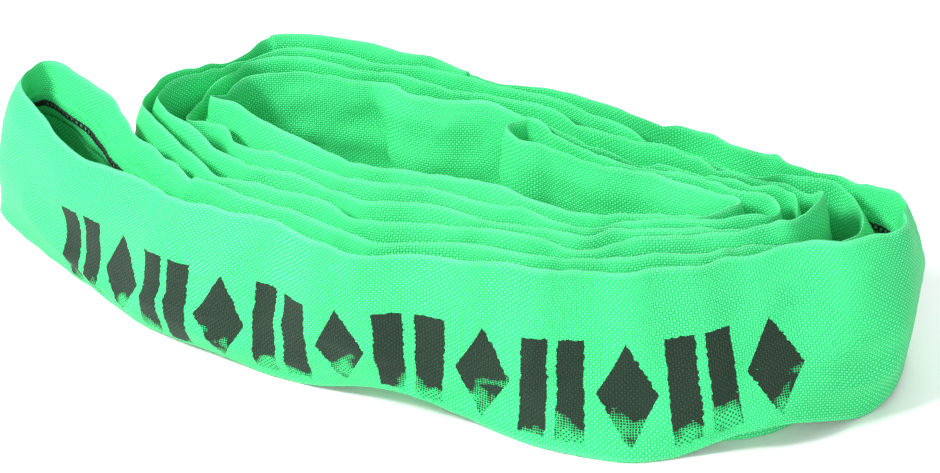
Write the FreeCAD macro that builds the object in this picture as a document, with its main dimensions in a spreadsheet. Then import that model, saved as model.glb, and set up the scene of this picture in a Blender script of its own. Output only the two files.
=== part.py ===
import FreeCAD, Part
import math
import os
import Sketcher

# Round sling, two tonnes, wound into an oval coil that stands on one edge.
# One endless hollow sleeve holds four endless hanks of load yarn.
# Millimetres, +Z up.  The origin is the middle of the coil's box, on the ground.

Vector = FreeCAD.Vector

doc = FreeCAD.newDocument("round_sling")

# ---------------------------------------------------------------- sizes
SIZES = [
    ("coil_length", 316.8, "nominal length the coil's stations are laid out on"),
    ("coil_depth", 151.2, "nominal depth the coil's stations are laid out on"),
    ("sleeve_width", 54.0, "sleeve laid flat; also the height of the coil"),
    ("sleeve_thickness", 5.8, "sleeve with its core, across the flat"),
    ("edge_chamfer", 1.9, "how far the sleeve narrows at its folded edges"),
    ("cloth", 1.0, "thickness of the sleeve cloth"),
    ("ply_gap", 0.45, "least space left between neighbouring plies"),
    ("play", 0.3, "space between pieces that lie along a curve together"),
    ("seam_drop", 14.4, "top edge down to the side seam"),
    ("lap_width", 8.6, "height of the doubled cloth at the side seam"),
    ("groove_width", 1.5, "width of the line the seam sinks into the cloth"),
    ("groove_depth", 0.9, "depth of that line"),
    ("seam_thread", 0.6, "diameter of the seam threads"),
    ("hank_thickness", 2.6, "core hank across the flat"),
    ("hank_height", 10.2, "height of each of the three lower hanks"),
    ("top_hank_height", 6.8, "height of the hank above the side seam"),
    ("hank_chamfer", 0.7, "how far a hank narrows at its edges"),
    ("hank_gap", 0.5, "space between one hank and the next"),
    ("tape", 0.25, "thickness of the tape round the hank joints"),
    ("tape_play", 0.12, "space between the tape and the hanks"),
    ("stitch_rise", 0.5, "how far the closing stitches stand out"),
]

sheet = doc.addObject("Spreadsheet::Sheet", "sizes")
for row, (alias, value, meaning) in enumerate(SIZES, start=1):
    sheet.set("A%d" % row, alias)
    sheet.set("B%d" % row, str(value))
    sheet.set("C%d" % row, meaning)
    sheet.setAlias("B%d" % row, alias)
doc.recompute()


def size(alias):
    return float(sheet.get(alias))


# ---------------------------------------------------------------- the route of the loop
# Stations once round the coil, from the front left, anticlockwise from above.
# Each is the outermost ply's middle line, then the line five plies further in,
# as thousandths of coil_length and coil_depth.
STATIONS = [
    ((-170, -387), (-142, -48)), ((-51, -423), (-40, -101)), ((85, -417), (68, -107)),
    ((216, -369), (165, -95)), ((330, -232), (233, -71)), ((432, -100), (273, -30)),
    ((446, 83), (286, 10)), ((412, 230), (275, 46)), ((321, 278), (246, 40)),
    ((213, 318), (168, 83)), ((99, 375), (77, 155)), ((-14, 429), (-38, 211)),
    ((-128, 476), (-95, 208)), ((-241, 494), (-208, 226)), ((-332, 381), (-252, 214)),
    ((-381, 226), (-286, 160)), ((-384, 83), (-276, 155)), ((-332, -48), (-236, 151)),
    ((-259, -196), (-167, 140)),
]
# Outer bight of the loop, from its front ply round to its rear ply.
OUTER_BIGHT = [
    (-287, -315), (-392, -190), (-477, -60), (-528, 48), (-540, 143),
    (-511, 190), (-466, 143), (-409, 48), (-344, -95), (-276, -232),
]
# Inner bight, from the outer ply of its pair round to the inner one.
INNER_BIGHT = [(34, 220), (3, 220), (3, 164), (34, 161)]
# Stations passed from the outer bight to the inner one, two and a half times round.
LAST_STATION = 2 * len(STATIONS) + 10
# The closing patch lies over these two stations, on the outermost ply at the back.
PATCH_STATIONS = (12, 13)
# The core's joints are taped at this station, on the front.
TAPE_STATION = 1


# The coil is never smaller than its plies allow: its length and depth are at
# least this many plies, counted with the space between them.
LEAST_PLIES = (50.6, 24.15)
ply_pitch = size("sleeve_thickness") + size("ply_gap")
coil_size = [max(size(name), plies * ply_pitch)
             for name, plies in zip(("coil_length", "coil_depth"), LEAST_PLIES)]


def on_plan(point):
    return Vector(point[0] / 1000.0 * coil_size[0], point[1] / 1000.0 * coil_size[1], 0)


def ply_point(station, ply):
    outer, inner = (on_plan(p) for p in STATIONS[station % len(STATIONS)])
    plies_in = 2 * (station // len(STATIONS)) + ply
    pitch = max((inner - outer).Length / 5, ply_pitch)
    return outer + (inner - outer).normalize() * pitch * plies_in


def loop_corners():
    outer_ply = [ply_point(k, 0) for k in range(LAST_STATION + 1)]
    inner_ply = [ply_point(k, 1) for k in range(LAST_STATION + 1)]
    rounds = [on_plan(p) for p in INNER_BIGHT], [on_plan(p) for p in OUTER_BIGHT]
    return outer_ply + rounds[0] + inner_ply[::-1] + rounds[1][::-1]


def left_of(direction):
    return Vector(-direction.y, direction.x, 0)


def loop_legs(corners, shift):
    """An arc and the straight run after it for each corner, moved left by shift."""
    bends = []
    for i, corner in enumerate(corners):
        arrive = corner - corners[i - 1]
        leave = corners[(i + 1) % len(corners)] - corner
        trim = 0.45 * min(arrive.Length, leave.Length)
        arrive.normalize()
        leave.normalize()
        turn = math.atan2(arrive.cross(leave).z, arrive.dot(leave))
        start, end = corner - arrive * trim, corner + leave * trim
        side = math.copysign(1.0, turn)
        radius = trim / math.tan(abs(turn) / 2)
        centre = start + left_of(arrive) * side * radius
        middle = centre + (corner - centre).normalize() * (radius - side * shift)
        start, end = start + left_of(arrive) * shift, end + left_of(leave) * shift
        bends.append((start, middle, end))
    legs = []
    for i, (start, middle, end) in enumerate(bends):
        following = bends[(i + 1) % len(bends)][0]
        legs.append((Part.Arc(start, middle, end).toShape(), Part.makeLine(end, following)))
    return legs


corners = loop_corners()
plain_box = Part.Wire([edge for leg in loop_legs(corners, 0) for edge in leg]).BoundBox
patch_rise = size("cloth") + size("play")
box_middle = Vector(plain_box.Center.x, plain_box.Center.y + (patch_rise + size("stitch_rise")) / 2, 0)
corners = [corner - box_middle for corner in corners]


def add_route(name, edges):
    route = doc.addObject("Part::Feature", name)
    route.Shape = Part.Wire(edges)
    return route


def whole_loop(name, shift=0.0):
    """The closed route, starting on a straight run."""
    edges = [edge for leg in loop_legs(corners, shift) for edge in leg]
    return add_route(name, edges[1:] + edges[:1])


def short_run(name, stations, ends=True):
    """The route over some stations, with the straight runs between and at both ends."""
    legs = loop_legs(corners, 0)
    edges = [legs[stations[0] - 1][1]] if ends else []
    for k in stations:
        edges += legs[k]
    return add_route(name, edges)


def start_of(route, height=0.0):
    """Placement with X to the left of the route, Y up, and Z along it."""
    edge = route.Shape.Edges[0]
    along = edge.tangentAt(edge.FirstParameter)
    origin = edge.valueAt(edge.FirstParameter) + Vector(0, 0, height)
    turn = FreeCAD.Rotation(left_of(along), Vector(0, 0, 1), along, "XYZ")
    return FreeCAD.Placement(origin, turn)


# ---------------------------------------------------------------- sections and sweeps
def section(name, route, points):
    """Closed outline; each corner is two expressions, across to the left and up."""
    sketch = doc.addObject("Sketcher::SketchObject", name)
    sketch.Placement = start_of(route)
    places = [Vector(*(float(sketch.evalExpression(text)) for text in pair), 0) for pair in points]
    count = len(places)
    for i in range(count):
        sketch.addGeometry(Part.LineSegment(places[i], places[(i + 1) % count]), False)
    for i in range(count):
        sketch.addConstraint(Sketcher.Constraint("Coincident", i, 2, (i + 1) % count, 1))
    for i, (texts, place) in enumerate(zip(points, places)):
        for kind, text, value in (("DistanceX", texts[0], place.x), ("DistanceY", texts[1], place.y)):
            number = sketch.addConstraint(Sketcher.Constraint(kind, -1, 1, i, 1, value))
            sketch.setExpression("Constraints[%d]" % number, text)
    return sketch


def round_section(name, route, diameter, height):
    ring = doc.addObject("Part::Circle", name)
    ring.Placement = start_of(route, height)
    ring.setExpression("Radius", diameter + " / 2")
    return ring


def sweep(name, profile, route):
    swept = doc.addObject("Part::Sweep", name)
    swept.Sections = [profile]
    swept.Spine = (route, ["Edge%d" % (i + 1) for i in range(len(route.Shape.Edges))])
    swept.Solid = True
    swept.Frenet = False
    return swept


def hollow(name, body, cavity):
    cut = doc.addObject("Part::Cut", name)
    cut.Base = body
    cut.Tool = cavity
    return cut


def band(half, low, high, chamfer):
    """Flat band with chamfered edges: half its thickness, its two edges, its chamfer."""
    inner_half, foot, head = ("(%s) - (%s) / 2" % (half, chamfer),
                              "(%s) + (%s)" % (low, chamfer), "(%s) - (%s)" % (high, chamfer))
    return [
        ("-(%s)" % inner_half, low), (inner_half, low), (half, foot), (half, head),
        (inner_half, high), ("-(%s)" % inner_half, high), ("-(%s)" % half, head), ("-(%s)" % half, foot),
    ]


# ---------------------------------------------------------------- sleeve
loop = whole_loop("loop_route")
half = "sizes.sleeve_thickness / 2"
seam = "sizes.sleeve_width - sizes.seam_drop"
lap_foot = seam + " - sizes.lap_width / 2"
lap_head = seam + " + sizes.lap_width / 2"
groove_foot = seam + " - sizes.groove_width / 2"
groove_head = seam + " + sizes.groove_width / 2"
groove_floor = half + " - sizes.groove_depth"

outside = band(half, "0 * sizes.cloth", "sizes.sleeve_width", "sizes.edge_chamfer")
outside[3:3] = [(half, groove_foot), (groove_floor, groove_foot),
                (groove_floor, groove_head), (half, groove_head)]
inner = half + " - sizes.cloth"
lap_face = half + " - 2 * sizes.cloth"
cavity = band(inner, "sizes.cloth", "sizes.sleeve_width - sizes.cloth",
              "(sizes.edge_chamfer - sizes.cloth / 2)")
cavity[3:3] = [(inner, lap_foot), (lap_face, lap_foot), (lap_face, lap_head), (inner, lap_head)]
sleeve = hollow(
    "sleeve",
    sweep("sleeve_outside", section("sleeve_outline", loop, outside), loop),
    sweep("sleeve_cavity", section("cavity_outline", loop, cavity), loop),
)

# ---------------------------------------------------------------- core
# Three hanks stand one above the other below the side seam, and one above it.
# A hank is never thicker than the sleeve and the tape leave room for.
hank_half = ("min(sizes.hank_thickness; sizes.sleeve_thickness - 2 * sizes.cloth"
             " - 2 * (sizes.tape + sizes.tape_play) - sizes.play) / 2")
lower_floor = "sizes.cloth + sizes.tape + sizes.tape_play + sizes.play"
top_floor = lap_head + " + sizes.tape + sizes.tape_play"
hanks = []
for number in range(3):
    foot = "%s + %d * (sizes.hank_height + sizes.hank_gap)" % (lower_floor, number)
    hanks.append((foot, foot + " + sizes.hank_height"))
hanks.append((top_floor, top_floor + " + sizes.top_hank_height"))
core = []
for number, (foot, head) in enumerate(hanks, start=1):
    outline = section("hank_outline_%d" % number, loop,
                      band(hank_half, foot, head, "sizes.hank_chamfer"))
    core.append(sweep("core_hank_%d" % number, outline, loop))

# Tape is wound round the joints of the hanks on the front.
tape_route = short_run("tape_route", [TAPE_STATION], ends=False)
tapes = []
for name, foot, head in (("core_tape_lower", hanks[0][0], hanks[2][1]), ("core_tape_top",) + hanks[3]):
    rings = []
    for layer, depth in (("outside", "(sizes.tape_play + sizes.tape)"), ("inside", "sizes.tape_play")):
        outline = band(hank_half + " + " + depth, foot + " - " + depth,
                       head + " + " + depth, "sizes.hank_chamfer")
        profile = section("%s_%s_outline" % (name, layer), tape_route, outline)
        rings.append(sweep("%s_%s" % (name, layer), profile, tape_route))
    tapes.append(hollow(name, *rings))

# ---------------------------------------------------------------- side seam
# A two-thread chain stitch: the looper thread lies in the sunk line on the face,
# the needle thread runs behind the doubled cloth.
seam_height = size("sleeve_width") - size("seam_drop")
looper_shift = (size("sleeve_thickness") - size("groove_depth")) / 2
needle_shift = size("sleeve_thickness") / 2 - 2 * size("cloth") - size("play") - size("seam_thread") / 2
threads = []
for name, shift in (("seam_looper_thread", looper_shift), ("seam_needle_thread", needle_shift)):
    route = whole_loop(name + "_route", shift)
    profile = round_section(name + "_outline", route, "sizes.seam_thread", seam_height)
    threads.append(sweep(name, profile, route))

# ---------------------------------------------------------------- closing patch
# A strip of sleeve cloth folded over the two ends of the sleeve, open at the
# bottom, and a row of stitches across it at each end.
patch_route = short_run("patch_route", list(PATCH_STATIONS))


def saddle(name, route, near, thick):
    """Outline that hangs over the sleeve at a distance near and is thick."""
    top = "sizes.sleeve_width + " + near
    foot = "sizes.play"
    side = half + " + " + near
    far_side, far_top = side + " + " + thick, top + " + " + thick
    corners_up = [(side, foot), (far_side, foot), (far_side, far_top)]
    across = [("-(%s)" % far_side, far_top), ("-(%s)" % far_side, foot), ("-(%s)" % side, foot)]
    return section(name, route, corners_up + across + [("-(%s)" % side, top), (side, top)])


patch = sweep("closing_patch", saddle("patch_outline", patch_route, "sizes.play", "sizes.cloth"), patch_route)
patch_runs = loop_legs(corners, 0)
stitches = []
for number, station in enumerate((PATCH_STATIONS[0] - 1, PATCH_STATIONS[1]), start=1):
    run = patch_runs[station][1]
    quarter = (run.LastParameter - run.FirstParameter) / 4
    middle = [run.valueAt(run.FirstParameter + quarter * k) for k in (1.4, 2.6)]
    route = add_route("stitch_route_%d" % number, [Part.makeLine(*middle)])
    outline = saddle("stitch_outline_%d" % number, route,
                     "(sizes.play + sizes.cloth)", "sizes.stitch_rise")
    stitches.append(sweep("closing_stitch_%d" % number, outline, route))

# ---------------------------------------------------------------- export
nodes = [sleeve] + core + tapes + threads + [patch] + stitches
for node in nodes:
    node.Label = node.Name
    node.Placement = FreeCAD.Placement()
doc.recompute()

for item in doc.Objects:
    if "Invalid" in item.State or "Error" in item.State:
        raise RuntimeError("%s did not compute: %s" % (item.Name, item.State))
os.makedirs("parts", exist_ok=True)
for node in nodes:
    if node.Shape.isNull() or not node.Shape.isValid() or len(node.Shape.Solids) != 1:
        raise RuntimeError("%s is not one sound solid" % node.Name)
    node.Shape.exportStep("parts/%s.step" % node.Name)
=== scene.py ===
import math

import bpy
import numpy as np
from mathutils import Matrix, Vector, noise


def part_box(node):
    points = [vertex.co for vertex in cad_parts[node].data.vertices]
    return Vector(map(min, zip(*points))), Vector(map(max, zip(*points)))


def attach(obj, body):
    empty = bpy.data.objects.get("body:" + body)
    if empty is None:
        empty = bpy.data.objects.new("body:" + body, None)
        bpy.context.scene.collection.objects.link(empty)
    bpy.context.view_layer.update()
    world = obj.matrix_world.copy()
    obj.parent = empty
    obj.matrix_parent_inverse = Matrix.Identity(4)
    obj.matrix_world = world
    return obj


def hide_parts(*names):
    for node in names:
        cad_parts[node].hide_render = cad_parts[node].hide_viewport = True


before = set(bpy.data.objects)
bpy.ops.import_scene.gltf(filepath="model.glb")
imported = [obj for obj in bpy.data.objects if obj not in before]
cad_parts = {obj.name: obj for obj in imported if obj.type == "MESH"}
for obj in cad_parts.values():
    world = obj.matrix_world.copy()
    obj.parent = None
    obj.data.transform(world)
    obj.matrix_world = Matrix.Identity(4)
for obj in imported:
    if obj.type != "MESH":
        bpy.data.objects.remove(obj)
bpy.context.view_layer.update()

bl_info = {
    "name": "Round sling",
    "version": (1, 0, 0),
    "blender": (4, 5, 0),
    "location": "View3D > Sidebar > Sling",
    "description": "A two-tonne round sling wound into a coil",
    "category": "Add Mesh",
}

MM = 0.001
# The sleeve laid flat: width of each face, in millimetres.
FACE_WIDTH = 54.0
HALF_WIDTH = FACE_WIDTH / 2
# Plies nearer than this along the loop are the same ply, in millimetres.
SAME_PLY = 24
# Length along the cloth of two bars and a diamond, in metres.
MARK_CELL = 0.044
SLEEVE_LOW, SLEEVE_HIGH = (Vector(c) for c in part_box("sleeve"))
SLEEVE_SIZE = SLEEVE_HIGH - SLEEVE_LOW

# ------------------------------------------------------------------ the route
# Places on the plan are thousandths of the coil's length and depth.  The stations are
# the part's, three of them moved by a millimetre or two, and the bights are opened out.
PLAN_SIZE = (316.8, 151.2)
PLAN_MIDDLE = (-15.0, 5.9)
# Stations once round the coil, from the front left, anticlockwise from above:
# places on the outermost ply's middle line and on the line five plies further in,
# then how far the top leans in over the foot at each, and the height of the top
# at each, both in millimetres.
STATIONS = [
    ((-170, -387), (-142, -48), 0, 5, 54, 53),
    ((-51, -423), (-40, -101), -3, 7, 54, 52),
    ((85, -417), (68, -107), 5, 7, 53, 51),
    ((216, -369), (165, -95), 18, 7, 52, 51),
    ((330, -245), (233, -71), 22, 4, 52, 52),
    ((429, -100), (273, -30), 10, 0, 53, 53),
    ((446, 83), (286, 10), 0, 0, 54, 53),
    ((412, 230), (275, 46), -2, 2, 54, 52),
    ((321, 272), (246, 40), 4, 2, 51, 52),
    ((213, 318), (168, 83), 3, 0, 52, 53),
    ((99, 375), (77, 155), 3, 0, 55, 54),
    ((-14, 429), (-38, 211), 5, 0, 54, 54),
    ((-128, 476), (-95, 208), 2, -2, 54, 53),
    ((-241, 494), (-208, 226), -2, -3, 56, 54),
    ((-332, 381), (-252, 214), 0, -2, 54, 53),
    ((-381, 226), (-286, 160), 0, 0, 54, 52),
    ((-384, 83), (-276, 155), 2, 2, 53, 51),
    ((-332, -48), (-236, 151), 2, 4, 53, 51),
    ((-259, -196), (-167, 140), 2, 5, 52, 52),
]
# Outer bight, from its front ply round to its rear ply: place, lean and height.
OUTER_BIGHT = [
    ((-287, -310), 1, 50), ((-392, -185), -1, 47), ((-480, -53), 2, 50), ((-537, 48), 5, 53),
    ((-546, 138), 6, 55), ((-518, 190), 5, 55), ((-470, 143), 0, 53), ((-409, 48), 0, 50),
    ((-344, -95), 0, 51), ((-276, -232), 0, 52),
]
# Inner bight, from the outer ply of its pair round to the inner one.
INNER_BIGHT = [((60, 224), 0, 55), ((28, 244), 0, 56), ((16, 185), 0, 54), ((50, 152), 0, 53)]
# Length and depth of the sleeve that these places make, in millimetres.
DRAWN = (315.8, 142.9)
# Places where a ply strays from its lane: (ply, station): east, north, lean, top.
# Ply 0 is the outer of the pair and 1 the inner; stations count on turn after turn.
STRAYS = {
    (1, 4): (-3, -2, 4, -2), (1, 5): (-8, 1, 2, -8), (1, 6): (-6, 2, -4, -10),
    (0, 23): (-4, 0, 6, 3), (0, 24): (-6, 2, 5, 6), (0, 25): (-9, 4, -4, 4), (0, 26): (-4, 0, 0, -4),
    (1, 24): (-2, 0, 0, -5), (1, 25): (-4, 1, 0, -6),
    (0, 13): (-3, 2, 0, 3), (0, 14): (0, 1, 4, -3), (1, 14): (1, 0, 3, -3),
    (0, 10): (0, 3, 4, 2), (0, 11): (0, 0, 0, -4),
    (0, 28): (0, 1, 5, 2), (1, 9): (0, 0, 4, -3), (1, 29): (0, -1, 4, 2), (0, 9): (0, 5, -2, 2),
    (0, 8): (0, 2, 0, -2), (0, 7): (0, -2, 0, -5), (0, 6): (0, 0, 0, -2),
    (1, 7): (-2, 2, 0, -5), (1, 28): (0, 0, 2, -3),
    (0, 34): (1, 0, 3, -4), (1, 34): (3, 0, 2, -3), (0, 35): (4, 1, -5, -6), (1, 35): (4, 1, 0, 2),
    (1, 16): (-2, -1, 0, 2), (0, 36): (3, 2, 0, -4), (1, 36): (2, 2, 3, 1), (1, 15): (2, 0, -3, 1),
}
LAST_STATION = 2 * len(STATIONS) + 10
# Where the foot is lifted off the floor: x, y, reach, rise, and how far it kicks out.
FOOT_LIFTS = [
    (12, -70, 34, 7.0, 1.5), (-60, -60, 34, 1.2, -1.0), (74, -64, 42, 0.0, 7.0),
    (122, -42, 32, 7.5, 3.0), (112, -33, 34, 0.0, -5.0),
    (152, -8, 20, 2.0, 0.0), (-150, 18, 24, 2.5, -1.0), (20, 58, 30, 2.5, 2.0), (-80, 58, 30, 2.0, 1.0),
]
# Where the plies are most rumpled: x, y, reach.
CRUMPLED = [(70, 40, 42), (122, 14, 34), (-92, 26, 26), (20, 26, 16)]
# Sharp folds in a face: place, face (1 inside), slope, reach, depth.
CREASES = [
    ((-27, 26), -1, 0.36, 70, 8.0), ((60, -68), -1, 2.2, 30, 1.8), ((104, -50), -1, -1.4, 26, 1.2),
    ((-95, -44), 1, 0.8, 18, 1.2), ((-60, -59), -1, -2.0, 36, 0.9),
    ((130, 32), -1, 0.7, 22, 1.6), ((-2, 61), -1, -0.7, 30, 1.3), ((-102, 36), -1, 0.6, 18, 1.4),
    ((146, -22), 1, -0.6, 14, 1.4),
]


def on_plan(place):
    """A place in whole millimetres from the coil's middle, as finely as it is known."""
    return tuple(round(part / 1000 * size - middle)
                 for part, size, middle in zip(place, PLAN_SIZE, PLAN_MIDDLE))


def ply_point(station, ply):
    outer, inner, lean_out, lean_in, top_out, top_in = STATIONS[station % len(STATIONS)]
    outer, inner = on_plan(outer), on_plan(inner)
    plies_in = (2 * (station // len(STATIONS)) + ply) / 5
    mix = [a + (b - a) * plies_in for a, b in zip(outer + (lean_out, top_out), inner + (lean_in, top_in))]
    return [a + b for a, b in zip(mix, STRAYS.get((ply, station), (0, 0, 0, 0)))]


def loop_stations():
    """x, y, lean towards the loop's inside and top height, once round the loop."""
    outer_ply = [ply_point(k, 0) for k in range(LAST_STATION + 1)]
    inner_ply = [ply_point(k, 1) for k in range(LAST_STATION + 1)]
    for row in inner_ply:
        row[2] = -row[2]
    inner_turn = [[*on_plan(place), lean, top] for place, lean, top in INNER_BIGHT]
    outer_turn = [[*on_plan(place), lean, top] for place, lean, top in OUTER_BIGHT]
    return np.array(outer_turn[::-1] + outer_ply + inner_turn + inner_ply[::-1])


def smooth_loop(rows, step, blur):
    """Rows joined by a smooth closed curve, at even spacing."""
    count = len(rows)
    out = []
    for i in range(count):
        p = [rows[(i + k - 1) % count] for k in range(4)]
        for t in np.linspace(0, 1, 16, endpoint=False):
            square = (2 * p[0] - 5 * p[1] + 4 * p[2] - p[3]) * t * t
            cube = (3 * p[1] - p[0] - 3 * p[2] + p[3]) * t ** 3
            out.append(0.5 * (2 * p[1] + (p[2] - p[0]) * t + square + cube))
    out = np.array(out)
    closed = np.vstack([out, out[:1]])
    run = np.concatenate([[0], np.cumsum(np.hypot(*np.diff(closed[:, :2], axis=0).T))])
    number = int(round(run[-1] / step))
    at = np.linspace(0, run[-1], number, endpoint=False)
    even = np.array([np.interp(at, run, closed[:, c]) for c in range(closed.shape[1])]).T
    reach = int(3 * blur / step) + 1
    weights = np.exp(-0.5 * (np.arange(-reach, reach + 1) * step / blur) ** 2)
    weights /= weights.sum()
    wrapped = np.vstack([even[-reach:], even, even[:reach]])
    return np.array([np.convolve(wrapped[:, c], weights, "valid") for c in range(even.shape[1])]).T


def blurred(values, reach):
    weights = np.hanning(2 * reach + 3)[1:-1]
    weights /= weights.sum()
    return np.convolve(np.concatenate([values[-reach:], values, values[:reach]]), weights, "valid")


def fold_noise(along, across, seed, scale_along, scale_across):
    return noise.noise(Vector((along / scale_along, across / scale_across, seed * 7.31)))


class Sleeve:
    """The sleeve's skin as a closed grid: rows along the loop, columns round the tube.

    Across runs from -1 at the foot to 1 at the top.  The inside face looks
    into the loop and the outside face away from it.
    """

    def __init__(self, step=1.8, columns=44):
        rows = smooth_loop(loop_stations(), step, 3.2)
        scale = np.array([SLEEVE_SIZE.x / MM / DRAWN[0], SLEEVE_SIZE.y / MM / DRAWN[1]])
        self.plan = rows[:, :2] * scale
        self.lean, self.top = rows[:, 2], rows[:, 3]
        self.count = len(rows)
        ahead = np.roll(self.plan, -1, axis=0) - np.roll(self.plan, 1, axis=0)
        self.length = float(np.hypot(*(np.roll(self.plan, -1, axis=0) - self.plan).T).sum())
        self.step = self.length / self.count
        ahead /= np.hypot(*ahead.T)[:, None]
        self.left = np.stack([-ahead[:, 1], ahead[:, 0]], axis=1)
        self.columns = columns
        self.room_left, self.room_right = self.find_room()
        self.grid = self.make_grid()

    def find_room(self):
        """Distance to the nearest ply on the left and on the right of each row."""
        left_room = np.full(self.count, 30.0)
        right_room = np.full(self.count, 30.0)
        index = np.arange(self.count)
        for i in range(self.count):
            away = np.abs(index - i)
            away = np.minimum(away, self.count - away) * self.step
            offset = self.plan - self.plan[i]
            side = offset @ self.left[i]
            near = np.hypot(*offset.T)
            square_on = (away > SAME_PLY) & (np.abs(side) > 0.86 * near)
            for room, mask in ((left_room, square_on & (side > 0)), (right_room, square_on & (side < 0))):
                if mask.any():
                    room[i] = min(room[i], near[mask].min())
        return blurred(left_room, 6), blurred(right_room, 6)

    def row_near(self, x, y):
        return int(np.argmin(np.hypot(self.plan[:, 0] - x, self.plan[:, 1] - y)))

    def bell(self, x, y, reach):
        """1 at the row nearest a place and falling to 0 a reach away along the loop."""
        away = np.abs(np.arange(self.count) - self.row_near(x, y))
        away = np.minimum(away, self.count - away) * self.step
        return np.clip(1 - (away / reach) ** 2, 0, 1) ** 2

    def make_grid(self):
        turns = np.linspace(-math.pi / 2, 1.5 * math.pi, self.columns, endpoint=False)
        across = np.sin(turns)
        facing = np.cos(turns)
        # A folded edge is tight: points crowd there and the tube closes quickly.
        self.across = np.sign(across) * (1 - (1 - np.abs(across)) ** 0.9)
        full = np.clip(np.minimum(self.room_left, self.room_right) * 0.90, 4.4, 9.2)
        full = blurred(full, 14)
        foot_up, foot_out = np.zeros(self.count), np.zeros(self.count)
        for x, y, reach, rise, out in FOOT_LIFTS:
            foot_up += rise * self.bell(x, y, reach)
            foot_out += out * self.bell(x, y, reach)
        creases = [(self.row_near(x, y) * self.step, *rest) for (x, y), *rest in CREASES]
        grid = np.zeros((self.count, self.columns, 3))
        for i in range(self.count):
            along = i * self.step
            px, py = self.plan[i]
            lump = 1 + 0.16 * fold_noise(along, 0, 1, 60, 1)
            free_left = min(max(self.room_left[i] - 9, 0), 8) / 8
            free_right = min(max(self.room_right[i] - 9, 0), 8) / 8
            free_both = min(free_left, free_right)
            # Plies side by side sway together, so the sway follows the place.
            loose = 0.25 + 0.75 * min(max((px + 118) / 30, 0), 1)
            sway = np.array([fold_noise(px, py, 31, 38, 38), fold_noise(px, py, 32, 38, 38)]) * 6.0 * loose
            sway += np.array([fold_noise(px, py, 33, 15, 15), fold_noise(px, py, 34, 15, 15)]) * 2.8 * loose
            swell = 2.6 * fold_noise(px, py, 35, 42, 42) * loose
            # Packed plies lap like tiles: each top edge lies back against the next ply in.
            heart = np.array([min(max(px, -66), 96), 8.0]) - self.plan[i]
            tile = float(self.left[i] @ heart) / max(float(np.hypot(*heart)), 10) * 0.44 * full[i]
            rise = math.sqrt(max(FACE_WIDTH ** 2 - self.lean[i] ** 2, 1)) / FACE_WIDTH
            height = min(self.top[i] + swell, FACE_WIDTH * rise + 1.4)
            edge_wave = 1.3 * fold_noise(along, 0, 2, 24, 1) + 0.8 * fold_noise(along, 0, 3, 8, 1)
            edge_wave *= 0.4 + 0.6 * loose
            foot_wave = 1.0 * fold_noise(along, 0, 4, 22, 1)
            roll = (1.5 + 1.3 * free_both) * fold_noise(along, 0, 7, 19, 1)
            crumple = max(math.exp(-((px - x) ** 2 + (py - y) ** 2) / reach ** 2)
                          for x, y, reach in CRUMPLED)
            roll *= 1 + 1.3 * crumple
            notch = max(0, 1 - 4.5 * abs(fold_noise(along, 0, 10, 17, 1)))
            edge_wave += crumple * (1.4 * fold_noise(along, 0, 11, 11, 1) - 1.4 * notch)
            for j in range(self.columns):
                s = self.across[j]
                face = 1 if facing[j] >= 0 else -1
                core = (1 - abs(s) ** (2.1 if s > 0 else 3.2)) ** (0.95 if s > 0 else 0.62)
                thick = full[i] / 2 * lump * core
                free = free_left if face > 0 else free_right
                across_mm = s * HALF_WIDTH
                wide = fold_noise(along, across_mm + 60 * face, 5, 30, 24)
                slant = fold_noise(along + 1.1 * across_mm * face, across_mm * 0.35 + 90 * face, 6, 12, 26)
                crest = fold_noise(along + 0.5 * across_mm, across_mm + 77 * face, 8, 58, 13)
                pinch = fold_noise(along - 1.2 * across_mm, 0.6 * across_mm + 33 * face, 9, 30, 20)
                fold = max(1 - 3.2 * abs(crest), -0.6)
                tuck = max(1 - 4.0 * abs(pinch), -0.4)
                thick += (0.5 + 1.5 * free) * wide * core + (0.35 + 0.6 * free) * slant * core
                thick += (0.75 + 0.6 * free) * fold * core + (0.45 + 0.5 * free) * tuck * core
                slip = 0.0
                for at, side, slope, reach, depth in creases:
                    if side == face:
                        beyond = along - at + slope * across_mm
                        if abs(beyond) < 70:
                            edge = 1 / (1 + math.exp(-min(max(beyond / 1.8, -30), 30)))
                            thick += depth * edge * math.exp(-max(beyond, 0) / reach) * core
                            slip += 0.5 * depth * edge * math.exp(-max(beyond, 0) / 6) * core
                            thick -= 0.4 * min(depth, 4) * math.exp(-((beyond + 2) / 3.0) ** 2) * core
                share = (s + 1) / 2
                shift = self.lean[i] * s / 2 + roll * (max(s, 0) ** 2.5 - 0.7 * share * (1 - share))
                shift += tile * max(s, 0) ** 2
                shift -= foot_out[i] * max(-s, 0) ** 2
                half_thick = max(thick, 0.12) * (1 if core > 0.02 else 0)
                place = self.plan[i] + self.left[i] * (shift + face * half_thick)
                place = place + sway * share ** 1.5 - slip * np.array([self.left[i, 1], -self.left[i, 0]])
                z = share * height + edge_wave * max(s, 0) ** 3 + abs(foot_wave) * max(-s, 0) ** 3
                z += foot_up[i] * max(-s, 0) ** 1.5
                grid[i, j] = (place[0], place[1], max(z, 0.15))
        return self.kept_inside(grid)

    def around(self):
        """Millimetres of cloth round the tube from the foot, 54 to each face, row by row."""
        half = self.columns // 2
        closed = np.concatenate([self.grid, self.grid[:, :1]], axis=1)
        run = np.cumsum(np.linalg.norm(np.diff(closed, axis=1), axis=2), axis=1)
        run = np.concatenate([np.zeros((self.count, 1)), run], axis=1)
        top, whole = run[:, half:half + 1], run[:, -1:]
        second_face = FACE_WIDTH + (run - top) / (whole - top) * FACE_WIDTH
        return np.where(run <= top, run / top * FACE_WIDTH, second_face)

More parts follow.
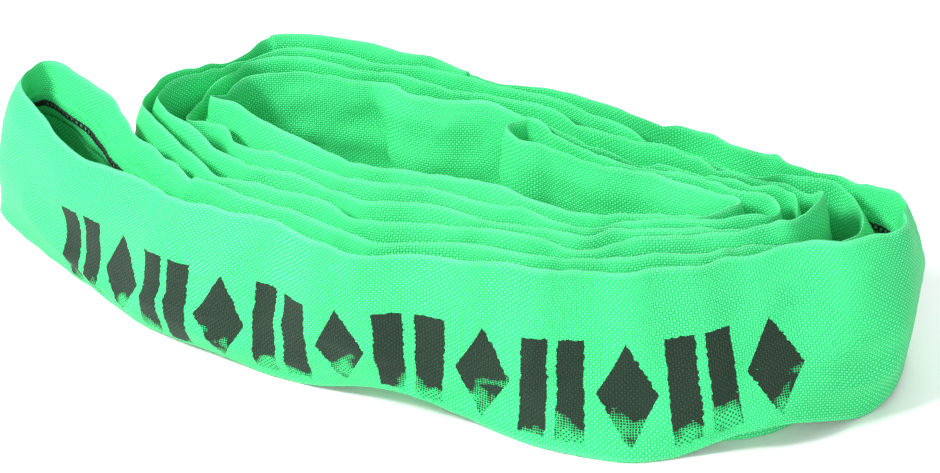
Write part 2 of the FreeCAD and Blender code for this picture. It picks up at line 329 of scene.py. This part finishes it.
    def kept_inside(self, grid):
        """Eases back whatever strays past the sleeve's own length, depth and height."""
        for axis, slack in ((0, 2.5), (1, 6.0), (2, 1.2)):
            low, high = SLEEVE_LOW[axis] / MM - slack, SLEEVE_HIGH[axis] / MM + slack
            values = grid[:, :, axis]
            eased = high - 3 + 3 * np.tanh((values - high + 3) / 3)
            grid[:, :, axis] = np.where(values > high - 3, eased, values)
            if axis < 2:
                values = grid[:, :, axis]
                eased = low + 3 - 3 * np.tanh((low + 3 - values) / 3)
                grid[:, :, axis] = np.where(values < low + 3, eased, values)
        return grid


def mesh_object(name, points, faces, uvs=None):
    mesh = bpy.data.meshes.new(name)
    mesh.from_pydata([tuple(p) for p in points], [], faces)
    mesh.update()
    if uvs is not None:
        layer = mesh.uv_layers.new(name="cloth")
        layer.data.foreach_set("uv", np.asarray(uvs, dtype=np.float32).ravel())
    mesh.shade_smooth()
    made = bpy.data.objects.new(name, mesh)
    bpy.context.scene.collection.objects.link(made)
    return made


def tube_faces(rows, columns):
    """Quads of a grid closed both ways, facing out."""
    faces = []
    for i in range(rows):
        k = (i + 1) % rows
        for j in range(columns):
            m = (j + 1) % columns
            faces.append((i * columns + j, i * columns + m, k * columns + m, k * columns + j))
    return faces


_made = {}


def sleeve_shape():
    if "sleeve" not in _made:
        _made["sleeve"] = Sleeve()
    return _made["sleeve"]


class Face:
    """One face of the sleeve, read at a distance along the loop and a height share."""

    def __init__(self, shape, inside):
        self.shape, self.sign = shape, 1 if inside else -1
        half = shape.columns // 2
        columns = list(range(half + 1))
        if not inside:
            columns = [c % shape.columns for c in range(2 * half, half - 1, -1)]
        self.grid = shape.grid[:, columns]
        self.across = shape.across[columns].copy()
        self.across[0], self.across[-1] = -1, 1

    def at(self, along, across):
        row = along / self.shape.step % self.shape.count
        i = int(row)
        t = row - i
        k = (i + 1) % self.shape.count
        j = int(np.clip(np.searchsorted(self.across, across) - 1, 0, len(self.across) - 2))
        w = (across - self.across[j]) / (self.across[j + 1] - self.across[j])
        low = self.grid[i, j] * (1 - t) + self.grid[k, j] * t
        high = self.grid[i, j + 1] * (1 - t) + self.grid[k, j + 1] * t
        return low * (1 - w) + high * w

    def frame(self, along, across):
        """Point, direction along, direction up and direction out of the face."""
        here = self.at(along, across)
        ahead = self.at(along + 1.5, across) - self.at(along - 1.5, across)
        up = self.at(along, min(across + 0.06, 1)) - self.at(along, max(across - 0.06, -1))
        ahead /= np.linalg.norm(ahead)
        out = np.cross(up, ahead) * self.sign
        out /= np.linalg.norm(out)
        return here, ahead, np.cross(ahead, out) * self.sign, out

    def along_at(self, x, first, last):
        """Distance along the loop where the plan reaches x, between two distances."""
        a, b = int(first / self.shape.step), int(last / self.shape.step)
        return (a + int(np.argmin(np.abs(self.shape.plan[a:b, 0] - x)))) * self.shape.step


# ------------------------------------------------------------------ materials
class Maths:
    """Adds math nodes to a tree and joins them up."""

    def __init__(self, tree):
        self.tree = tree

    def __call__(self, operation, *values):
        node = self.tree.nodes.new("ShaderNodeMath")
        node.operation = operation
        for socket, value in zip(node.inputs, values):
            if isinstance(value, (int, float)):
                socket.default_value = value
            else:
                self.tree.links.new(value, socket)
        return node.outputs[0]

    def span(self, value, low, high):
        """0 below low, 1 above high, smooth between; low may be the larger."""
        node = self.tree.nodes.new("ShaderNodeMapRange")
        node.interpolation_type = "SMOOTHSTEP"
        self.tree.links.new(value, node.inputs[0])
        node.inputs[1].default_value, node.inputs[2].default_value = low, high
        return node.outputs[0]

    def noise(self, vector, scale, detail=2.0):
        node = self.tree.nodes.new("ShaderNodeTexNoise")
        node.inputs["Scale"].default_value, node.inputs["Detail"].default_value = scale, detail
        self.tree.links.new(vector, node.inputs["Vector"])
        return node.outputs[0]


def new_group(name, inputs, outputs):
    group = bpy.data.node_groups.new(name, "ShaderNodeTree")
    for socket_name, kind, value in inputs:
        socket = group.interface.new_socket(socket_name, in_out="INPUT", socket_type=kind)
        if value is not None:
            socket.default_value = value
    for socket_name, kind in outputs:
        group.interface.new_socket(socket_name, in_out="OUTPUT", socket_type=kind)
    return group, group.nodes.new("NodeGroupInput").outputs, group.nodes.new("NodeGroupOutput").inputs


def weave_group():
    """Plain weave with dashes lying along the cloth, staggered row by row."""
    if "plain_weave" in bpy.data.node_groups:
        return bpy.data.node_groups["plain_weave"]
    group, given, result = new_group(
        "plain_weave",
        [("Cloth", "NodeSocketVector", None), ("Dash", "NodeSocketFloat", 0.00080),
         ("Row", "NodeSocketFloat", 0.00074)],
        [("Height", "NodeSocketFloat"), ("Dashes", "NodeSocketFloat"), ("Cloudy", "NodeSocketFloat")],
    )
    m = Maths(group)
    split = group.nodes.new("ShaderNodeSeparateXYZ")
    group.links.new(given["Cloth"], split.inputs[0])
    wander = m("MULTIPLY", m("SUBTRACT", m.noise(given["Cloth"], 260), 0.5), 0.0009)
    along = m("DIVIDE", m("ADD", split.outputs["X"], wander), given["Dash"])
    across = m("DIVIDE", m("ADD", split.outputs["Y"], m("MULTIPLY", wander, 0.5)), given["Row"])
    checks = m("MULTIPLY", m("SINE", m("MULTIPLY", along, math.pi)),
               m("SINE", m("MULTIPLY", across, math.pi)))
    slant = m("SINE", m("MULTIPLY", m("ADD", along, across), math.pi))
    bump = m("ADD", m("MULTIPLY", checks, 0.8), m("MULTIPLY", slant, -0.22))
    dashes = m.span(bump, -0.05, 0.75)
    weft = m("MULTIPLY", m.span(bump, 0.05, -0.8), 0.55)
    group.links.new(m("ADD", dashes, weft), result["Height"])
    group.links.new(dashes, result["Dashes"])
    group.links.new(m.noise(given["Cloth"], 38, 3), result["Cloudy"])
    return group


def ink_group():
    """Load marks stamped along the cloth: pairs of bars with a diamond between pairs."""
    if "stamped_marks" in bpy.data.node_groups:
        return bpy.data.node_groups["stamped_marks"]
    group, given, result = new_group(
        "stamped_marks",
        [("Cloth", "NodeSocketVector", None), ("Weave", "NodeSocketFloat", 0.5),
         ("First", "NodeSocketFloat", 0.0), ("Last", "NodeSocketFloat", 0.2),
         ("Line", "NodeSocketFloat", 0.09), ("Half height", "NodeSocketFloat", 0.015)],
        [("Ink", "NodeSocketFloat"), ("Thin", "NodeSocketFloat")],
    )
    m = Maths(group)
    split = group.nodes.new("ShaderNodeSeparateXYZ")
    group.links.new(given["Cloth"], split.inputs[0])
    ragged = m("MULTIPLY", m("SUBTRACT", m.noise(given["Cloth"], 700), 0.5), 0.0016)
    along = m("ADD", m("SUBTRACT", split.outputs["X"], given["First"]), ragged)
    cell = m("MODULO", along, MARK_CELL)
    up = m("DIVIDE", m("ADD", m("SUBTRACT", given["Line"], split.outputs["Y"]), ragged), given["Half height"])
    high = m("ABSOLUTE", up)
    in_line = m("LESS_THAN", high, 1.0)
    first_bar = m("LESS_THAN", m("ABSOLUTE", m("SUBTRACT", cell, 0.0045)), 0.0042)
    second_bar = m("LESS_THAN", m("ABSOLUTE", m("SUBTRACT", cell, 0.0160)), 0.0042)
    bars = m("MULTIPLY", m("MAXIMUM", first_bar, second_bar), in_line)
    from_tip = m("DIVIDE", m("ABSOLUTE", m("SUBTRACT", cell, 0.0325)), 0.0088)
    diamond = m("LESS_THAN", m("ADD", from_tip, high), 1.0)
    inside = m("MULTIPLY", m("GREATER_THAN", along, 0.0), m("LESS_THAN", split.outputs["X"], given["Last"]))
    marks = m("MULTIPLY", m("MAXIMUM", bars, diamond), inside)
    patchy = m("SUBTRACT", m.noise(given["Cloth"], 95, 3), 0.5)
    low_side = m("MULTIPLY", m("MULTIPLY", up, -1.0), 0.42)
    across_cell = m("MULTIPLY", m("DIVIDE", cell, MARK_CELL), 0.16)
    worn = m("ADD", m("ADD", low_side, across_cell), m("MULTIPLY", patchy, 1.1))
    thin = m.span(worn, 0.12, 0.52)
    left = m("GREATER_THAN", m("ADD", given["Weave"], m("MULTIPLY", m("SUBTRACT", 1.0, thin), 1.2)), 0.62)
    group.links.new(m("MULTIPLY", marks, left), result["Ink"])
    group.links.new(thin, result["Thin"])
    return group


def use_group(tree, group, **values):
    node = tree.nodes.new("ShaderNodeGroup")
    node.node_tree = group
    for name, value in values.items():
        socket = node.inputs[name.replace("_", " ")]
        if hasattr(value, "default_value") or hasattr(value, "is_linked"):
            tree.links.new(value, socket)
        else:
            socket.default_value = value
    return node.outputs


def new_material(name):
    material = bpy.data.materials.new(name)
    material.use_nodes = True
    shader = material.node_tree.nodes["Principled BSDF"]
    return material, material.node_tree, shader, Maths(material.node_tree)


def mix_colour(tree, share, first, second):
    node = tree.nodes.new("ShaderNodeMix")
    node.data_type = "RGBA"
    tree.links.new(share, node.inputs[0])
    for socket, colour in ((node.inputs[6], first), (node.inputs[7], second)):
        if isinstance(colour, tuple):
            socket.default_value = (*colour, 1)
        else:
            tree.links.new(colour, socket)
    return node.outputs[2]


def cloth_map(tree):
    node = tree.nodes.new("ShaderNodeUVMap")
    node.uv_map = "cloth"
    return node.outputs[0]


def add_bump(tree, shader, height, distance, strength):
    bump = tree.nodes.new("ShaderNodeBump")
    bump.inputs["Strength"].default_value = strength
    bump.inputs["Distance"].default_value = distance
    tree.links.new(height, bump.inputs["Height"])
    tree.links.new(bump.outputs[0], shader.inputs["Normal"])


def woven_cloth(name, colours, ink=None):
    """Woven polyester; ink holds where the load marks start, end and lie."""
    material, tree, shader, m = new_material(name)
    where = cloth_map(tree)
    weave = use_group(tree, weave_group(), Cloth=where)
    deep, body, light = colours
    # Woven pattern with painted light: the weave's dips are painted in the deep green as painted shade, and
    # its raised dashes in the light green as painted highlight.
    ground = mix_colour(tree, m.span(weave["Height"], 0.0, 0.7), deep, body)
    threads = mix_colour(tree, m("MULTIPLY", weave["Dashes"], 0.6), ground, light)
    split = tree.nodes.new("ShaderNodeSeparateXYZ")
    tree.links.new(where, split.inputs[0])
    # Painted highlight: the cloth is painted paler along its folded edges, 54 mm apart.
    from_edge = m("PINGPONG", split.outputs["Y"], 0.054)
    edge_highlight = m("MAXIMUM", m.span(from_edge, 0.0024, 0.0004), m.span(from_edge, 0.0516, 0.0536))
    edge_highlight = m("MULTIPLY", edge_highlight, m("ADD", m("MULTIPLY", weave["Height"], 0.45), 0.15))
    threads = mix_colour(tree, edge_highlight, threads, light)
    colour = mix_colour(tree, m("MULTIPLY", m.span(weave["Cloudy"], 0.35, 0.7), 0.22), threads, body)
    roughness = m("SUBTRACT", 0.62, m("MULTIPLY", weave["Dashes"], 0.16))
    if ink:
        stamp = use_group(tree, ink_group(), Cloth=where, Weave=weave["Height"], **ink)
        # The printed ink is painted paler on the weave's raised dashes, a painted highlight.
        black = mix_colour(tree, m("MULTIPLY", weave["Dashes"], 0.5),
                           (0.002, 0.003, 0.003), (0.014, 0.012, 0.010))
        colour = mix_colour(tree, m("MULTIPLY", stamp["Ink"], 0.97), colour, black)
        roughness = m("ADD", roughness, m("MULTIPLY", stamp["Ink"], 0.12))
    tree.links.new(colour, shader.inputs["Base Color"])
    tree.links.new(roughness, shader.inputs["Roughness"])
    shader.inputs["Specular IOR Level"].default_value = 0.36
    shader.inputs["Sheen Weight"].default_value = 0.04
    shader.inputs["Sheen Roughness"].default_value = 0.45
    add_bump(tree, shader, weave["Height"], 0.00028, 0.85)
    return material


def spun_thread(name, dark, light, twist=1400.0):
    """Twisted thread, its ply lines slanting round it."""
    material, tree, shader, _ = new_material(name)
    place = tree.nodes.new("ShaderNodeTexCoord").outputs["Object"]
    wave = tree.nodes.new("ShaderNodeTexWave")
    wave.bands_direction = "DIAGONAL"
    wave.inputs["Scale"].default_value = twist
    wave.inputs["Distortion"].default_value = 1.5
    tree.links.new(place, wave.inputs["Vector"])
    tree.links.new(mix_colour(tree, wave.outputs[1], dark, light), shader.inputs["Base Color"])
    shader.inputs["Roughness"].default_value = 0.55
    shader.inputs["Specular IOR Level"].default_value = 0.35
    add_bump(tree, shader, wave.outputs[1], 0.0001, 0.5)
    return material


# Greens of the cloth: deep for painted shade in the weave's dips, body, and light for painted highlight on
# its raised dashes.
GREENS = ((0.006, 0.46, 0.115), (0.030, 0.82, 0.245), (0.22, 0.98, 0.50))


# ------------------------------------------------------------------ sizes to change
class SlingSizes(bpy.types.PropertyGroup):
    """Sizes and colours of the sling that a user would change."""

    seam_height: bpy.props.FloatProperty(
        name="Seam height", description="Height of the side seam above the foot", default=0.0396,
        unit="LENGTH")
    link_pitch: bpy.props.FloatProperty(
        name="Link pitch", description="Distance from one link of the chain stitch to the next",
        default=0.0025, unit="LENGTH")
    thread_radius: bpy.props.FloatProperty(
        name="Thread radius", description="Radius of the sewing thread", default=0.00031, unit="LENGTH")
    mark_height: bpy.props.FloatProperty(
        name="Mark height", description="Height of the stamped load marks", default=0.030, unit="LENGTH")
    floor_colour: bpy.props.FloatVectorProperty(
        name="Floor", description="Colour of the floor", default=(0.92, 0.93, 0.93), subtype="COLOR")


def sizes():
    return bpy.context.scene.sling_sizes


def share_of_height(height):
    """Height above the foot in metres as a share from -1 to 1."""
    return height / MM / HALF_WIDTH - 1


def tube_along(points, outs, radius, sides, closed=True):
    """Points of a thin tube round a line, and its quads."""
    points = np.asarray(points)
    count = len(points)
    ahead = np.roll(points, -1, axis=0) - np.roll(points, 1, axis=0)
    if not closed:
        ahead[0], ahead[-1] = points[1] - points[0], points[-1] - points[-2]
    ahead /= np.linalg.norm(ahead, axis=1)[:, None]
    outs = np.asarray(outs)
    sideways = np.cross(ahead, outs)
    sideways /= np.linalg.norm(sideways, axis=1)[:, None]
    outs = np.cross(sideways, ahead)
    rings = []
    for k in range(sides):
        turn = 2 * math.pi * k / sides
        rings.append(points + radius * (math.cos(turn) * outs + math.sin(turn) * sideways))
    verts = np.stack(rings, axis=1).reshape(-1, 3)
    faces = []
    for i in range(count if closed else count - 1):
        k = (i + 1) % count
        for j in range(sides):
            m = (j + 1) % sides
            faces.append((i * sides + j, i * sides + m, k * sides + m, k * sides + j))
    if not closed:
        faces.append(tuple(range(sides))[::-1])
        faces.append(tuple((count - 1) * sides + j for j in range(sides)))
    return verts, faces


def join_parts(parts):
    """Several (points, faces) as one."""
    points, faces, start = [], [], 0
    for verts, quads in parts:
        points.append(verts)
        faces += [tuple(start + i for i in face) for face in quads]
        start += len(verts)
    return np.vstack(points), faces


def strip_section(face, along, foot, head, thick):
    """Ring of points round a flat strip lying on a face, at one distance along it."""
    ring = []
    heights = np.linspace(foot, head, 6)
    for across in heights:
        here, _, _, out = face.frame(along, across)
        ring.append(here + out * thick)
    for across in heights[::-1]:
        here, _, _, out = face.frame(along, across)
        ring.append(here - out * 0.25)
    return ring


def finish_piece(made, material, slot, *nodes):
    made.data.materials.append(material)
    if nodes:
        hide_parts(*nodes)
    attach(made, "root")
    return made


# ------------------------------------------------------------------ pieces
class SLING_OT_sleeve(bpy.types.Operator):
    """Make the woven sleeve"""

    bl_idname = "sling.sleeve"
    bl_label = "Sleeve"

    def execute(self, context):
        shape = sleeve_shape()
        rows, columns = shape.count, shape.columns
        along = np.arange(rows + 1) * shape.step
        around = shape.around()
        faces = tube_faces(rows, columns)
        uvs = np.zeros((len(faces), 4, 2))
        for i in range(rows):
            block = uvs[i * columns:(i + 1) * columns]
            here, after = around[i], around[(i + 1) % rows]
            block[:, 0:2, 0], block[:, 2:4, 0] = along[i], along[i + 1]
            block[:, 0, 1], block[:, 1, 1] = here[:-1], here[1:]
            block[:, 3, 1], block[:, 2, 1] = after[:-1], after[1:]
        made = mesh_object("sleeve_woven", shape.grid.reshape(-1, 3) * MM, faces, uvs * MM)
        outside = Face(shape, inside=False)
        first = outside.along_at(-116, 130, 300) * MM
        last = first + 6 * MARK_CELL - 0.0025
        ink = {"First": first, "Last": last, "Line": 0.108 - 0.0190,
               "Half_height": sizes().mark_height / 2}
        finish_piece(made, woven_cloth("green_webbing", GREENS, ink), "sleeve_cloth", "sleeve")
        return {"FINISHED"}


class SLING_OT_seam(bpy.types.Operator):
    """Make the doubled cloth and the black chain stitch of the side seam"""

    bl_idname = "sling.seam"
    bl_label = "Side seam"

    def execute(self, context):
        shape = sleeve_shape()
        face = Face(shape, inside=True)
        middle = share_of_height(sizes().seam_height)
        foot, head = middle - 0.20, middle + 0.175
        rings = []
        for i in range(shape.count):
            along = i * shape.step
            wave = 0.012 * fold_noise(along, 0, 11, 18, 1)
            rings.append(strip_section(face, along, foot + wave, head, 0.42))
        rings = np.array(rings)
        columns = rings.shape[1]
        faces = tube_faces(len(rings), columns)
        across = np.concatenate([np.linspace(foot, head, 6), np.linspace(head, foot, 6)]) * HALF_WIDTH
        across = np.append(across, across[0])
        uvs = np.zeros((len(faces), 4, 2))
        for i in range(len(rings)):
            block = uvs[i * columns:(i + 1) * columns]
            block[:, 0:2, 0], block[:, 2:4, 0] = i * shape.step, (i + 1) * shape.step
            block[:, 0, 1], block[:, 3, 1] = across[:-1], across[:-1]
            block[:, 1, 1], block[:, 2, 1] = across[1:], across[1:]
        lap = mesh_object("seam_lap", rings.reshape(-1, 3) * MM, faces, (uvs + 0.4) * MM)
        finish_piece(lap, woven_cloth("green_hem", GREENS), "sleeve_cloth")

        thread = spun_thread("black_thread", (0.004, 0.004, 0.005), (0.035, 0.035, 0.038))
        radius, pitch = sizes().thread_radius / MM, sizes().link_pitch / MM
        count = int(round(shape.length / pitch))
        pitch = shape.length / count
        links = []
        for n in range(count):
            line, outs = [], []
            slack = 1 + 0.18 * fold_noise(n * 3.7, 0, 12, 5, 1)
            drift = 0.5 * fold_noise(n * pitch, 0, 13, 16, 1)
            for turn in np.linspace(0, 2 * math.pi, 9, endpoint=False):
                lengthways = pitch * (0.5 - 0.68 * math.cos(turn))
                wide = 1.15 * slack * math.sin(turn) * (0.85 - 0.25 * math.cos(turn)) + drift
                here, _, _, out = face.frame(n * pitch + lengthways, middle + wide / HALF_WIDTH)
                lift = 0.42 + radius * (1.0 + 0.75 * (0.5 + 0.5 * math.cos(turn)))
                line.append(here + out * lift)
                outs.append(out)
            links.append(tube_along(line, outs, radius, 5))
        points, faces = join_parts(links)
        chain = mesh_object("seam_chain_stitch", points * MM, faces)
        finish_piece(chain, thread, "seam_thread", "seam_looper_thread")
        return {"FINISHED"}


class SLING_OT_core(bpy.types.Operator):
    """Make the yarn hanks, their tape and the needle thread inside the sleeve"""

    bl_idname = "sling.core"
    bl_label = "Core"

    def execute(self, context):
        shape = sleeve_shape()
        inside, outside = Face(shape, True), Face(shape, False)
        yarn = spun_thread("core_yarn", (0.60, 0.59, 0.52), (0.86, 0.85, 0.78), 900.0)
        tape = spun_thread("joint_tape", (0.52, 0.44, 0.24), (0.62, 0.54, 0.32), 200.0)
        thread = bpy.data.materials["black_thread"]

        def band(name, foot, head, share, first, last, material, slot, node):
            closed = last - first >= shape.length - 1
            stops = np.arange(first, last - (2 if closed else 0), 2.6)
            rings = []
            for along in stops:
                ring = []
                for face, heights in ((inside, np.linspace(foot, head, 5)),
                                      (outside, np.linspace(head, foot, 5))):
                    for across in heights:
                        near, far = inside.at(along, across), outside.at(along, across)
                        middle = (near + far) / 2
                        ring.append(middle + ((near if face is inside else far) - middle) * share)
                rings.append(ring)
            rings = np.array(rings)
            columns = rings.shape[1]
            faces = tube_faces(len(rings), columns)
            if not closed:
                faces = faces[:-columns]
                faces += [tuple(range(columns))[::-1],
                          tuple((len(rings) - 1) * columns + j for j in range(columns))]
            made = mesh_object(name, rings.reshape(-1, 3) * MM, faces)
            finish_piece(made, material, slot, node)

        spans = [(-0.93, -0.56), (-0.53, -0.16), (-0.13, 0.24), (0.62, 0.85)]
        for number, (foot, head) in enumerate(spans, start=1):
            band("yarn_hank_%d" % number, foot, head, 0.42, 0, shape.length, yarn, "core_yarn",
                 "core_hank_%d" % number)
        at = outside.along_at(-20, 240, 330)
        band("joint_tape_lower", -0.95, 0.26, 0.60, at, at + 40, tape, "core_tape", "core_tape_lower")
        band("joint_tape_top", 0.60, 0.88, 0.60, at, at + 40, tape, "core_tape", "core_tape_top")
        middle = share_of_height(sizes().seam_height)
        line, outs = [], []
        for along in np.arange(0, shape.length - 3, 4.0):
            here, _, _, out = inside.frame(along, middle)
            line.append(here - out * 1.5)
            outs.append(out)
        points, faces = tube_along(line, outs, 0.3, 5)
        made = mesh_object("seam_needle_line", points * MM, faces)
        finish_piece(made, thread, "seam_thread", "seam_needle_thread")
        return {"FINISHED"}


class SLING_OT_closing(bpy.types.Operator):
    """Make the patch over the sleeve's two ends and its rows of stitches"""

    bl_idname = "sling.closing"
    bl_label = "Closing patch"

    def execute(self, context):
        shape = sleeve_shape()
        inside, outside = Face(shape, True), Face(shape, False)
        low, high = (corner[0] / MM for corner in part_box("closing_patch"))
        behind = int(np.argmax(shape.plan[:, 1])) * shape.step
        first, last = (outside.along_at(x, behind - 110, behind + 110) for x in (high, low))

        def over(along, lift):
            """Points up the inside face, over the top edge and down the outside face."""
            line = []
            for face, stops in ((inside, np.linspace(-0.97, 0.93, 12)),
                                (outside, np.linspace(0.93, -0.97, 12))):
                for across in stops:
                    here, _, _, out = face.frame(along, across)
                    line.append(here + out * lift)
                if face is inside:
                    line.append(shape_top(along, lift))
            return line

        def shape_top(along, lift):
            return inside.at(along, 1.0) + np.array([0, 0, lift])

        rings = []
        for along in np.arange(first, last + 0.1, 2.0):
            edge = 0.25 * fold_noise(along, 0, 21, 9, 1)
            rings.append(over(along, 0.85 + edge) + over(along, 0.05)[::-1])
        rings = np.array(rings)
        rows, columns = rings.shape[:2]
        faces = tube_faces(rows, columns)[:-columns]
        half = columns // 2
        last_row = (rows - 1) * columns
        for c in range(half - 1):
            near, far = (c, c + 1), (columns - 1 - c, columns - 2 - c)
            faces.append((near[1], near[0], far[0], far[1]))
            faces.append(tuple(last_row + v for v in (near[0], near[1], far[1], far[0])))
        across = np.concatenate([np.linspace(0, 108, half), np.linspace(108, 0, half)])
        made = mesh_object("closing_wrap", rings.reshape(-1, 3) * MM, faces)
        layer = made.data.uv_layers.new(name="cloth")
        for polygon in made.data.polygons:
            for loop in polygon.loop_indices:
                v = made.data.loops[loop].vertex_index
                layer.data[loop].uv = (v // columns * 2.0 * MM, across[v % columns] * MM)
        finish_piece(made, woven_cloth("patch_webbing", GREENS), "patch_cloth", "closing_patch")

        thread = bpy.data.materials["black_thread"]
        radius = sizes().thread_radius / MM
        for number, centre in enumerate((first + 5, last - 5), start=1):
            parts = []
            for shift in (-1.4, 1.4):
                for face in (inside, outside):
                    for across in np.arange(-0.93, 0.66, 0.13):
                        line, outs = [], []
                        for t in np.linspace(0, 1, 5):
                            here, _, _, out = face.frame(centre + shift, across + 0.095 * t)
                            lift = 0.9 + radius * (1.3 * math.sin(math.pi * t) - 0.3)
                            line.append(here + out * lift)
                            outs.append(out)
                        parts.append(tube_along(line, outs, radius, 6, closed=False))
            points, faces = join_parts(parts)
            made = mesh_object("closing_row_%d" % number, points * MM, faces)
            finish_piece(made, thread, "closing_thread", "closing_stitch_%d" % number)
        return {"FINISHED"}


class SLING_OT_stage(bpy.types.Operator):
    """Set the floor, the lights and the camera"""

    bl_idname = "sling.stage"
    bl_label = "Stage"

    def execute(self, context):
        bpy.ops.object.select_all(action="DESELECT")
        bpy.ops.mesh.primitive_plane_add(size=8, location=(0, 0, 0))
        floor = context.active_object
        floor.name = "floor"
        material, _, shader, _ = new_material("pale_floor")
        shader.inputs["Base Color"].default_value = (*sizes().floor_colour, 1)
        shader.inputs["Roughness"].default_value = 0.6
        shader.inputs["Specular IOR Level"].default_value = 0.15
        floor.data.materials.append(material)

        context.scene.view_settings.view_transform = "Standard"
        context.scene.view_settings.look = "None"
        world = bpy.data.worlds.new("studio")
        context.scene.world = world
        world.use_nodes = True
        backdrop = world.node_tree.nodes["Background"]
        backdrop.inputs[0].default_value = (0.97, 1.0, 1.0, 1)
        backdrop.inputs[1].default_value = 0.6

        for name, place, size, power in (
            ("key", (-0.80, -0.65, 0.95), 0.35, 23.0),
            ("fill", (0.35, -1.2, 0.55), 0.7, 8.0),
            ("back", (0.1, 1.0, 0.9), 0.8, 7.0),
        ):
            light = bpy.data.lights.new(name, "AREA")
            light.size, light.energy = size, power
            lamp = bpy.data.objects.new(name, light)
            lamp.location = place
            lamp.rotation_euler = (Vector((0, 0, 0.03)) - lamp.location).to_track_quat("-Z", "Y").to_euler()
            context.scene.collection.objects.link(lamp)

        camera = bpy.data.objects.new("camera", bpy.data.cameras.new("camera"))
        camera.data.lens, camera.data.sensor_width = 95, 36
        azimuth, elevation, distance = math.radians(18), math.radians(30), 0.81
        aim = Vector((0.0153, -0.006, 0.027))
        back = Vector((math.sin(azimuth) * math.cos(elevation), -math.cos(azimuth) * math.cos(elevation),
                       math.sin(elevation)))
        camera.location = aim + back * distance
        camera.rotation_euler = (-back).to_track_quat("-Z", "Y").to_euler()
        context.scene.collection.objects.link(camera)
        context.scene.camera = camera
        return {"FINISHED"}


class SLING_PT_panel(bpy.types.Panel):
    """Round sling"""

    bl_label = "Round sling"
    bl_idname = "SLING_PT_panel"
    bl_space_type = "VIEW_3D"
    bl_region_type = "UI"
    bl_category = "Sling"

    def draw(self, context):
        for name in ("seam_height", "link_pitch", "thread_radius", "mark_height", "floor_colour"):
            self.layout.prop(context.scene.sling_sizes, name)
        for operator in OPERATORS:
            self.layout.operator(operator.bl_idname)


OPERATORS = (SLING_OT_sleeve, SLING_OT_seam, SLING_OT_core, SLING_OT_closing, SLING_OT_stage)
CLASSES = (SlingSizes,) + OPERATORS + (SLING_PT_panel,)


def register():
    for cls in CLASSES:
        bpy.utils.register_class(cls)
    bpy.types.Scene.sling_sizes = bpy.props.PointerProperty(type=SlingSizes)


def unregister():
    del bpy.types.Scene.sling_sizes
    for cls in reversed(CLASSES):
        bpy.utils.unregister_class(cls)


def main():
    register()
    bpy.ops.sling.sleeve()
    bpy.ops.sling.seam()
    bpy.ops.sling.core()
    bpy.ops.sling.closing()
    bpy.ops.sling.stage()


if __name__ == "__main__":
    main()
